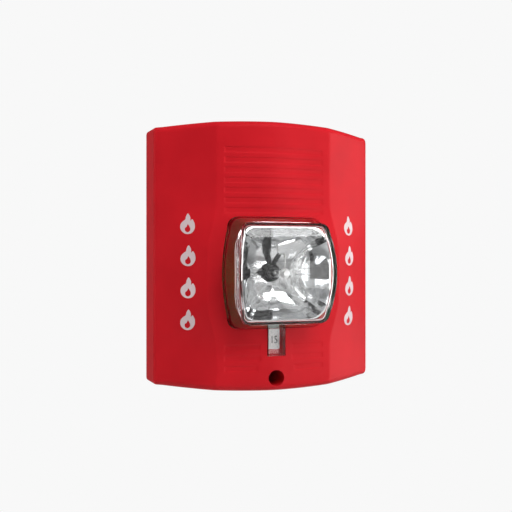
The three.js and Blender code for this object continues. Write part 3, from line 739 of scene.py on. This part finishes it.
def makeLens():
    wall = lens["wall"]
    flangeFront = lens["rear"] + lens["flange"]
    reach = 2 * lens["flangeReach"]
    flangeSize = (lens["rearWidth"] + reach, lens["rearHeight"] + reach, lens["radius"] + lens["flangeReach"])
    neckSize = (lens["rearWidth"], lens["rearHeight"], lens["radius"])
    outside = [barrelLoop(*flangeSize, depth) for depth in (lens["rear"], flangeFront)]
    outside += [barrelLoop(*neckSize, depth) for depth in (flangeFront, lens["neck"])]
    edgeShare = 1 - lens["edge"] / (lens["front"] - lens["neck"])
    outside += [domeLoop(share, 0) for share in np.linspace(0, edgeShare, lens["sideRows"])[1:]]
    outside += domeEdge(0, lens["edge"], lens["edgeSteps"])
    outside += [domeLoop(1, lens["edge"], 0, size) for size in lens["frontRings"]]
    inside = [[(x, lens["rear"], z) for x, _, z in domeLoop(0, wall)]]
    shares = np.linspace(0, lens["innerSides"], lens["sideRows"])
    inside += [domeLoop(share, wall, wall * share) for share in shares]
    inside += domeEdge(wall, lens["innerEdge"], lens["innerEdgeSteps"])
    inside += [domeLoop(1, wall + lens["innerEdge"], wall, size) for size in lens["frontRings"]]
    outer, outerFaces = loft(outside, capFirst=False)
    inner, innerFaces = loft(inside, capFirst=False)
    count = len(outside[0])
    offset = len(outer)
    faces = outerFaces + [tuple(offset + k for k in reversed(face)) for face in innerFaces]
    faces += [(k, offset + k, offset + (k + 1) % count, (k + 1) % count) for k in range(count)]
    piece = newPiece("clear_lens", outer + inner, faces, finish["clear_lens"], "housing",
                     lens["smooth"])
    cutOrJoin(piece, newTool(tabLoops()), "UNION")
    tidy(piece, lens["smooth"])
    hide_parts("strobe_lens")


makeLens()


bowl = {
    "rear": 36.6, "wall": 0.8, "rimReach": 0.9, "curve": 5.0, "curveFrom": 44.0, "roundUntil": 0.3,
    "cornerSteps": 5, "sideSteps": 6, "smooth": 14,
    "rim": {"halfX": 23.4, "halfZ": 23.6, "corner": 11.0, "depth": 61.0},
    "rings": [(4.5, 36.6), (8.0, 37.2), (12.5, 39.0), (16.0, 41.6), (18.8, 44.8), (20.6, 48.6), (22.2, 54.0)],
}


# rounded rectangle: steps on each corner, and side pieces to each straight
def roundedRect(halfX, halfZ, radius, steps, side):
    outline = []
    corners = [(1, -1, -90), (1, 1, 0), (-1, 1, 90), (-1, -1, 180)]

    def corner(index, turn):
        sx, sz, start = corners[index % 4]
        a = math.radians(start + turn)
        return sx * (halfX - radius) + radius * math.cos(a), sz * (halfZ - radius) + radius * math.sin(a)

    for index in range(4):
        outline += [corner(index, 90 * k / steps) for k in range(steps + 1)]
        here, goal = corner(index, 90), corner(index + 1, 0)
        for k in range(1, side):
            outline.append(tuple(here[i] + (goal[i] - here[i]) * k / side for i in (0, 1)))
    return outline


# round by the tube, square with round corners at the rim
def bowlLoop(half, depth, grow=0.0):
    rim = bowl["rim"]
    share = half / rim["halfX"]
    halfX = half + grow
    halfZ = half + (rim["halfZ"] - rim["halfX"]) * share + grow
    square = min(1, max(0, share - bowl["roundUntil"]) / (1 - bowl["roundUntil"]))
    radius = min(halfX * (1 + (rim["corner"] / rim["halfX"] - 1) * square), halfX - 0.01, halfZ - 0.01)
    fall = bowl["curve"] * max(0, (depth - bowl["curveFrom"]) / (rim["depth"] - bowl["curveFrom"]))
    outline = roundedRect(halfX, halfZ, radius, bowl["cornerSteps"], bowl["sideSteps"])
    return [(x, depth - fall * (z / rim["halfZ"]) ** 2, z + lens["z"]) for x, z in outline]


def makeBowl():
    rim = bowl["rim"]
    stops = bowl["rings"] + [(rim["halfX"], rim["depth"])]
    finer = [stops[0]]
    for (h0, d0), (h1, d1) in zip(stops, stops[1:]):
        finer += [((h0 + h1) / 2, (d0 + d1) / 2), (h1, d1)]
    inside = [bowlLoop(half, depth) for half, depth in finer]
    outside = [bowlLoop(half, depth - bowl["wall"], bowl["wall"]) for half, depth in reversed(finer[1:-1])]
    rimOut = bowlLoop(rim["halfX"], rim["depth"], bowl["rimReach"])
    rimBack = [(x, depth - bowl["wall"], z) for x, depth, z in rimOut]
    holeBack = [(x, bowl["rear"] - bowl["wall"], z) for x, _, z in inside[0]]
    points, faces = loft(inside + [rimOut, rimBack] + outside + [holeBack], closed=True)
    piece = newPiece("mirror_bowl", points, faces, finish["metallised"], "housing",
                     bowl["smooth"])
    piece.data.materials.append(finish["white_plastic"])   # the bowl's back is left bare
    bare = (len(inside) + 1) * len(inside[0])
    for face in piece.data.polygons:
        face.material_index = int(min(face.vertices) >= bare)
    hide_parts("reflector")


makeBowl()


# profiles are (radius, distance); distances run from the rear or the front of the piece
tube = {
    "rear": 38.5, "front": 58.0,
    "outsideRear": [(0.2, 0), (1.84, 0), (2.3, 0.6)],
    "outsideFront": [(2.3, -1.2), (1.978, -0.5), (1.15, 0), (0.2, 0)],
    "insideFront": [(0.2, -1), (1.05, -1.2), (1.5, -2)],
    "insideRear": [(1.5, 2), (1.05, 1), (0.2, 0.8)],
    "pin": {"tip": 0.3, "radius": 0.6, "chamfer": 0.2, "cathode": (1, 6), "anode": (-6.5, -1)},
}
tubeCap = {
    "rear": [(1.2, 0), (2.5, 0), (2.6, 0.2), (2.6, 1.2), (2.2, 1.6), (1.5, 1.7)],
    "front": [(1.5, -0.3), (1.2, 0)],
}
boot = {
    "rear": [(2.0, 0), (4.2, 0)],
    "neck": [(4.2, 36.4), (3.7, 36.9), (3.7, 37.6), (4.15, 38.1), (4.15, 40.2)],   # true depths
    "front": [(3.7, 0), (2.75, 0), (2.6, -0.3)],
    "socket": [(2.6, 38.3), (2.0, 38.2)],   # true depths
}
leads = {
    "sleeveRadius": 1.25, "sleeve": [(37.5, 3.0), (40, 4.6), (45, 7.3), (48.6, 9.0)],
    "loopRadius": 0.4,
    "loop": [(48.2, 9.2), (50.5, 9.8), (56, 9.8), (58.9, 9.6), (59.05, 8.4), (59.05, 5.5), (59.05, 3.0)],
    "triggerRadius": 0.38, "trigger": [(48, 10.3), (46.5, 13), (45.5, 15.0), (45.1, 16.2)],
}


def shifted(profile, start):
    return [(radius, start + distance) for radius, distance in profile]


def makeFlashTube():
    rear, front = tube["rear"], tube["front"]
    profile = shifted(tube["outsideRear"], rear) + shifted(tube["outsideFront"], front)
    profile += shifted(tube["insideFront"], front) + shifted(tube["insideRear"], rear)
    glass = lathe("flash_tube_glass", profile, finish["quartz"], "housing", closed=True)
    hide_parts("flash_tube")
    pin = tube["pin"]
    for name, base in (("cathode", rear), ("anode", front)):
        start, end = base + pin[name][0], base + pin[name][1]
        profile = [(pin["tip"], start), (pin["radius"], start + pin["chamfer"])]
        profile += [(pin["radius"], end - pin["chamfer"]), (pin["tip"], end)]
        lathe(name, profile, finish["steel"], "housing", 24)
    capLow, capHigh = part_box("tube_end_cap")
    profile = shifted(tubeCap["rear"], -capHigh.y / mm) + shifted(tubeCap["front"], -capLow.y / mm)
    piece = lathe("tube_cap", profile, finish["steel"], "housing")
    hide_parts("tube_end_cap")


def makeBoot():
    low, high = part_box("tube_holder")
    profile = shifted(boot["rear"], -high.y / mm) + boot["neck"]
    profile += shifted(boot["front"], -low.y / mm) + boot["socket"]
    piece = lathe("tube_boot", profile, finish["black_rubber"], "housing", 56, closed=True)
    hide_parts("tube_holder")


def makeLeads():
    sleeve = wire("lead_boot", leads["sleeve"], leads["sleeveRadius"], finish["black_rubber"],
                  "housing", 4)
    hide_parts("lead_sleeve")
    loop = wire("return_wire", leads["loop"], leads["loopRadius"], finish["steel"], "housing")
    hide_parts("return_lead")
    start = wire("trigger_wire", leads["trigger"], leads["triggerRadius"], finish["steel"],
                 "housing")
    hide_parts("trigger_lead")


makeFlashTube()
makeBoot()
makeLeads()
print("lens parts made")


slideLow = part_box("candela_selector")[0]
label = {
    "values": ["15", "30", "75", "110"], "pitch": 7.8, "halfWidth": 2.7, "bottom": -49.2, "top": -38.6,
    "corner": 0.4, "cornerSteps": 3, "sunk": 0.05, "proud": 0.1, "smooth": 30,
    "textHeight": 3.9, "textZ": -44.2, "squeeze": 0.72, "longSqueeze": 0.5,   # long is three digits
    "textOver": 0.03, "textThick": 0.06,
}


# a number over a label; x is its middle and depth the middle of its thickness
def makeNumber(words, x, depth):
    name = "candela_number_" + words
    curve = bpy.data.curves.new(name, "FONT")
    curve.body = words
    curve.align_x = "CENTER"
    curve.align_y = "CENTER"
    curve.extrude = label["textThick"] / 2
    mesh = curveMesh(name, curve)
    flat = readPoints(mesh)
    low, high = flat.min(0), flat.max(0)
    scale = label["textHeight"] / (high[1] - low[1])
    middle = (low + high) / 2
    squeeze = label["squeeze"] if len(words) < 3 else label["longSqueeze"]
    across = x + (flat[:, 0] - middle[0]) * scale * squeeze
    up = label["textZ"] + (flat[:, 1] - middle[1]) * scale
    writePoints(mesh, across, depth + np.sign(flat[:, 2]) * label["textThick"] / 2, up)
    weld(mesh)
    addPiece(name, mesh, blackPrint, "candela_slide")


def makeLabels():
    face = -slideLow.y / mm
    half = (label["top"] - label["bottom"]) / 2
    middle = (label["top"] + label["bottom"]) / 2
    for k, words in enumerate(label["values"]):
        x = k * label["pitch"]
        outline = roundedRect(label["halfWidth"], half, label["corner"], label["cornerSteps"], 1)
        depths = (face - label["sunk"], face + label["proud"])
        points, faces = loft([[(x + px, depth, middle + pz) for px, pz in outline] for depth in depths])
        newPiece("candela_label_" + words, points, faces, whitePrint, "candela_slide",
                 label["smooth"])
        makeNumber(words, x, face + label["proud"] + label["textOver"])


makeLabels()
print("labels made")


# outlines run about the mark's middle, in shares of its height
flame = {
    "height": 10.8, "stretch": 0.86, "x": 45.3, "top": 16.8, "pitch": 16.67, "count": 4,
    "proud": 0.14, "sunk": 0.4, "curveSteps": 6, "smooth": 30,
    "outline": [
        (0.04, 0.5), (0.15, 0.32), (0.16, 0.15), (0.25, 0.22), (0.36, 0.02),
        (0.36, -0.22), (0.22, -0.43), (0.0, -0.5), (-0.22, -0.43), (-0.36, -0.24),
        (-0.35, -0.02), (-0.22, 0.13), (-0.1, 0.22), (-0.06, 0.37),
    ],
    "core": [
        (0.02, -0.02), (0.13, -0.2), (0.12, -0.34), (0.0, -0.41),
        (-0.12, -0.35), (-0.14, -0.22), (-0.04, -0.13),
    ],
}


# smooth closed line through the points
def closedSpline(points, steps):
    count = len(points)
    made = []
    for k in range(count):
        p0, p1, p2, p3 = (np.array(points[(k + shift) % count]) for shift in (-1, 0, 1, 2))
        for t in np.arange(steps) / steps:
            made.append(0.5 * (2 * p1 + (p2 - p0) * t + (2 * p0 - 5 * p1 + 4 * p2 - p3) * t ** 2
                               + (3 * p1 - p0 - 3 * p2 + p3) * t ** 3))
    return made


def makeFlame(name, side, z):
    curve = bpy.data.curves.new(name, "CURVE")
    curve.dimensions = "2D"
    curve.fill_mode = "BOTH"
    curve.extrude = 0.5   # only tells front from back
    for outline in (flame["outline"], flame["core"]):
        loop = closedSpline(outline, flame["curveSteps"])
        line = curve.splines.new("POLY")
        line.points.add(len(loop) - 1)
        for point, (u, v) in zip(line.points, loop):
            point.co = (u, v, 0, 1)
        line.use_cyclic_u = True
    mesh = curveMesh(name, curve)
    flat = readPoints(mesh)
    x = side * flame["x"] + flat[:, 0] * flame["height"] * flame["stretch"]
    up = z + flat[:, 1] * flame["height"]
    writePoints(mesh, x, frontDepth(x, up) + np.where(flat[:, 2] > 0, flame["proud"], -flame["sunk"]), up)
    weld(mesh)
    addPiece(name, mesh, flamePrint, "housing", flame["smooth"])


for side, sideName in ((-1, "left"), (1, "right")):
    for k in range(flame["count"]):
        makeFlame(f"flame_mark_{sideName}_{k + 1}", side, flame["top"] - k * flame["pitch"])
print("marks made")


# the other pieces keep their frame shape, with softened edges; edge widths in mm, angles in degrees
soft = {
    "edge": 0.15, "wider": {"mounting_plate": 0.35, "rear_cover": 0.3, "terminal_block": 0.3},
    "weld": 0.002 * mm, "flatAngle": 1, "sharpAngle": 40, "smoothAngle": 32,
}


def soften(name, material, edge):
    source = frame["nodes"][name]
    mesh = source.data.copy()
    work = bmesh.new()
    work.from_mesh(mesh)
    bmesh.ops.remove_doubles(work, verts=work.verts, dist=soft["weld"])
    flat = math.radians(soft["flatAngle"])
    bmesh.ops.dissolve_limit(work, angle_limit=flat, verts=work.verts, edges=work.edges)
    limit = math.radians(soft["sharpAngle"])
    sharp = [e for e in work.edges if len(e.link_faces) == 2 and e.calc_face_angle(0) > limit]
    bmesh.ops.bevel(work, geom=sharp, offset=edge * mm, offset_type="OFFSET", segments=2, profile=0.5,
                    affect="EDGES", clamp_overlap=True)
    work.to_mesh(mesh)
    work.free()
    piece = addPiece(name + "_fine", mesh, material, source["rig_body"], soft["smoothAngle"])
    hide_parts(name)


slotOf = {part["node"]: part["material_slot"] for part in frame["record"]["subparts"]}
for name, node in frame["nodes"].items():
    if not node.hide_render:
        soften(name, finish[slotOf[name]], soft["wider"].get(name, soft["edge"]))


studio = {
    "white": 0.939, "floorZ": -0.45, "floorHalf": 3.0, "floorCloud": 0.4, "floorRough": 0.7,
    "floorDark": rgb(0.82, 0.82, 0.82), "floorLight": rgb(0.86, 0.86, 0.86),
    "bright": 1.15, "dim": 0.14, "fill": 0.14, "patchScale": 3.0, "patchRange": (0.33, 0.47),
    "rearDim": 0.85, "rearRange": (0.0, 0.5),
}
view = {"turn": 15.9, "distance": 0.396, "aside": 0.0018, "rise": 0.0, "lensLength": 47.2, "nearest": 0.01}


# plain to the eye, pale and matt to other light
def makeFloor():
    paint = newPaint("pale_floor")
    tint = paint.noise(studio["floorCloud"], 2)
    tone = paint.mixColour(tint, studio["floorDark"], studio["floorLight"])
    matt = paint.surface(tone, studio["floorRough"])
    glow = paint.add("ShaderNodeEmission", None, {0: rgb(studio["white"], studio["white"], studio["white"])})
    seen = paint.add("ShaderNodeLightPath", out=0)
    mesh = bpy.data.meshes.new("floor")
    half = studio["floorHalf"]
    corners = ((-half, -half), (half, -half), (half, half), (-half, half))
    mesh.from_pydata([(x, y, studio["floorZ"]) for x, y in corners], [], [(0, 1, 2, 3)])
    mesh.materials.append(paint.done(paint.mixShader(seen, matt, glow)))
    floor = bpy.data.objects.new("floor", mesh)
    scene.collection.objects.link(floor)


# plain to the eye; rays bent or mirrored by a perfectly smooth surface meet pale screens and dark gaps,
# and all other rays an even fill
def makeWorld():
    scene.world = bpy.data.worlds.new("studio")
    room = Paint(scene.world)
    way = room.add("ShaderNodeTexCoord", out=0)
    cloud = {"Vector": way, "Scale": studio["patchScale"], "Detail": 1.0}
    patches = room.add("ShaderNodeTexNoise", None, cloud)
    rearward = room.add("ShaderNodeSeparateXYZ", None, {0: way}, out=1)
    contrast = studio["bright"] - studio["dim"]
    screens = room.between(patches, *studio["patchRange"]) * contrast + studio["dim"]
    screens = screens * (1 - studio["rearDim"] * room.between(rearward, *studio["rearRange"]))
    sharp = room.add("ShaderNodeLightPath", out=4)   # 1 after a perfectly smooth surface
    glow = screens * sharp + (1 - sharp) * studio["fill"]
    unseen = room.add("ShaderNodeBackground", None, {"Strength": glow})
    white = rgb(studio["white"], studio["white"], studio["white"])
    seen = room.add("ShaderNodeBackground", None, {"Color": white})
    eye = room.add("ShaderNodeLightPath", out=0)
    room.done(room.mixShader(eye, unseen, seen), "ShaderNodeOutputWorld")


lamps = {
    "front_box": {"at": (0.50, -0.85, -0.05), "size": (0.5, 0.5), "power": 2.2, "mirrored": False},
    "high_box": {"at": (0.20, -0.62, 0.74), "size": (0.6, 0.5), "power": 7.4, "mirrored": False},
    "low_box": {"at": (0.22, -0.68, -0.68), "size": (0.6, 0.5), "power": 14.5, "mirrored": False},
    "right_box": {"at": (0.80, -0.17, 0.0), "size": (0.3, 0.9), "power": 2.4, "mirrored": True},
    "left_box": {"at": (-0.86, 0.22, 0.25), "size": (0.4, 0.8), "power": 4.4, "mirrored": False},
}
lampAim = Vector((0, -0.03, 0))


def makeLamp(name, lamp):
    light = bpy.data.lights.new(name, "AREA")
    light.shape = "RECTANGLE"
    light.size, light.size_y = lamp["size"]
    light.energy = lamp["power"]
    piece = bpy.data.objects.new(name, light)
    piece.location = lamp["at"]
    piece.rotation_euler = (lampAim - Vector(lamp["at"])).to_track_quat("-Z", "Y").to_euler()
    piece.visible_glossy = lamp["mirrored"]
    scene.collection.objects.link(piece)


def makeCamera():
    turn = math.radians(view["turn"])
    right = Vector((math.cos(turn), -math.sin(turn), 0))
    ahead = Vector((math.sin(turn), math.cos(turn), 0))
    camera = bpy.data.objects.new("camera", bpy.data.cameras.new("camera"))
    camera.data.lens = view["lensLength"]
    camera.location = right * view["aside"] - ahead * view["distance"] + Vector((0, 0, view["rise"]))
    camera.rotation_euler = (math.radians(90), 0, -turn)
    camera.data.clip_start = view["nearest"]
    scene.collection.objects.link(camera)
    scene.camera = camera


makeFloor()
makeWorld()
for name, lamp in lamps.items():
    makeLamp(name, lamp)
makeCamera()
scene.view_settings.view_transform = "Standard"
print("studio set:", len(lamps), "lamps")
